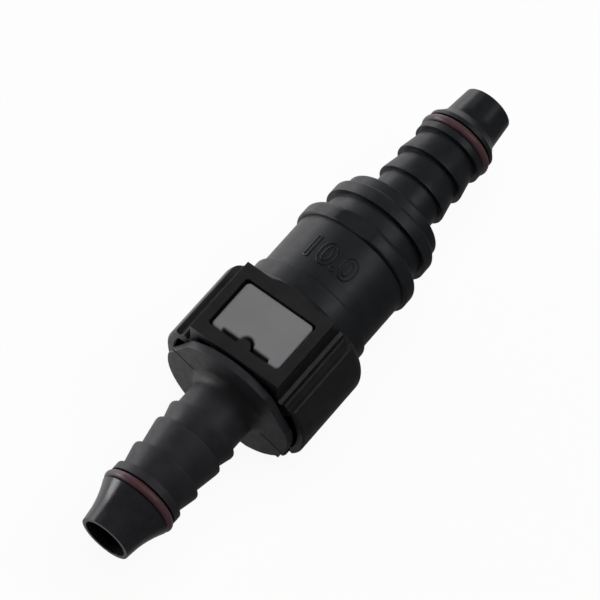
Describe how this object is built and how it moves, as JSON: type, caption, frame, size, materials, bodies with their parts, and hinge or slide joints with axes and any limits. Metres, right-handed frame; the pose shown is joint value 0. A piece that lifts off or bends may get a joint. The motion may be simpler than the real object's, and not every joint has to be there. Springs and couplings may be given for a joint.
{
  "type": "plastic quick disconnect coupling",
  "caption": "Straight quick coupling for a small fluid line: a flanged male tail locked in a black head with a grey push button on a stepped body with a barbed hose tail.",
  "frame": {"origin": "on the flow axis, halfway between the two hose ends", "axes": "+X along the flow axis towards the body's hose end, +Z out through the button"},
  "size_m": [0.0826, 0.0232, 0.021],
  "materials": {
    "body_plastic": "dark grey glass-filled nylon, fine matt",
    "housing_plastic": "black nylon, satin",
    "clip_plastic": "mid grey plastic, satin",
    "tail_seal": "dark red-brown rubber, smooth",
    "spigot_seal": "black rubber, smooth",
    "bush_plastic": "natural plastic"
  },
  "bodies": {
    "female": {"female_body": "body_plastic", "lock_housing": "housing_plastic", "female_tail_o_ring": "tail_seal", "seal_retainer": "bush_plastic"},
    "button": {"locking_clip": "clip_plastic"},
    "seal_pack": {"front_spigot_o_ring": "spigot_seal", "seal_spacer": "bush_plastic", "rear_spigot_o_ring": "spigot_seal"},
    "male": {"male_connector": "body_plastic", "male_tail_o_ring": "tail_seal"}
  },
  "joints": [
    {"name": "button_press", "type": "slide", "parent": "female", "child": "button", "axis": [0, 0, -1], "range_m": [0, 0.0016], "stiffness_N_per_m": 300, "deforming": ["locking_clip"]},
    {"name": "swivel", "type": "hinge", "parent": "female", "child": "seal_pack", "pos_m": [0.00042, 0, 0], "axis": [1, 0, 0], "continuous": true},
    {"name": "pull_out", "type": "slide", "parent": "seal_pack", "child": "male", "axis": [-1, 0, 0], "range_m": [0, 0.032], "deforming": ["locking_clip"]}
  ]
}
